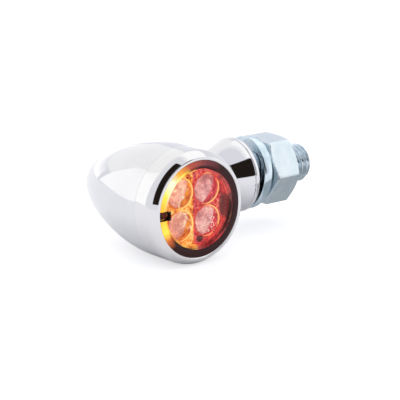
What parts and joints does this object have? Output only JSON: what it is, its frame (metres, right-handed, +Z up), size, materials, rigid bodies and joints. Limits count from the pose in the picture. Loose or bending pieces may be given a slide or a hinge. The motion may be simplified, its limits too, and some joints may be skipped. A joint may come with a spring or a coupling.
{
  "type": "turn signal indicator",
  "caption": "Small chrome bullet turn signal with a round LED lens, held by a short flared stalk and a hollow threaded stud with a spring washer and hex nut.",
  "frame": {"origin": "centre of the stalk's end face, the shoulder that bears on the bracket", "axes": "+X outwards along the stud, -Y the way the lens faces, +Z up"},
  "size_m": [0.0509, 0.0352, 0.022],
  "materials": {
    "chrome_casting": "polished chrome plate on a zinc casting",
    "chrome_ring": "polished chrome plate on a turned ring",
    "lens_plastic": "clear smoked polycarbonate, glossy",
    "seal_rubber": "soft black rubber",
    "carrier_plastic": "matt black moulded plastic",
    "amber_plastic": "transparent amber acrylic",
    "red_plastic": "transparent red acrylic",
    "led_body": "white LED package with a phosphor window",
    "board_white": "white solder mask on an aluminium core",
    "spreader_alloy": "machined aluminium",
    "pin_gold": "gold-flashed pins",
    "board_green": "green solder mask",
    "chip_black": "matt black moulded packages",
    "ceramic_tan": "fired ceramic with tinned ends",
    "resin_black": "cured black epoxy",
    "zinc_stud": "bright zinc plate with a faint blue cast",
    "zinc_washer": "bright zinc plate with a faint blue cast",
    "zinc_nut": "bright zinc plate with a faint blue cast"
  },
  "bodies": {
    "lamp": {"bullet_housing": "chrome_casting", "front_ring": "chrome_ring", "front_lens": "lens_plastic", "lens_seal": "seal_rubber", "optic_carrier": "carrier_plastic", "amber_optic": "amber_plastic", "red_optic": "red_plastic", "amber_leds": "led_body", "red_leds": "led_body", "led_board": "board_white", "heat_spreader": "spreader_alloy", "board_pins": "pin_gold", "driver_board": "board_green", "driver_chips": "chip_black", "smoothing_capacitors": "ceramic_tan", "current_resistors": "chip_black", "polarity_diodes": "chip_black", "lead_terminals": "pin_gold", "potting_plug": "resin_black", "hollow_stud": "zinc_stud", "lead_grommet": "seal_rubber"},
    "washer": {"spring_washer": "zinc_washer"},
    "nut": {"hex_nut": "zinc_nut"}
  },
  "joints": [
    {"name": "nut_travel", "type": "slide", "parent": "lamp", "child": "washer", "axis": [1, 0, 0], "range_m": [0, 0.01]},
    {"name": "nut_turn", "type": "hinge", "parent": "washer", "child": "nut", "pos_m": [0, 0, 0], "axis": [1, 0, 0], "range_deg": [0, 2880]}
  ],
  "couplings": [
    {"joint": "nut_turn", "follows": "nut_travel", "rad_per_m": 5026.5}
  ]
}
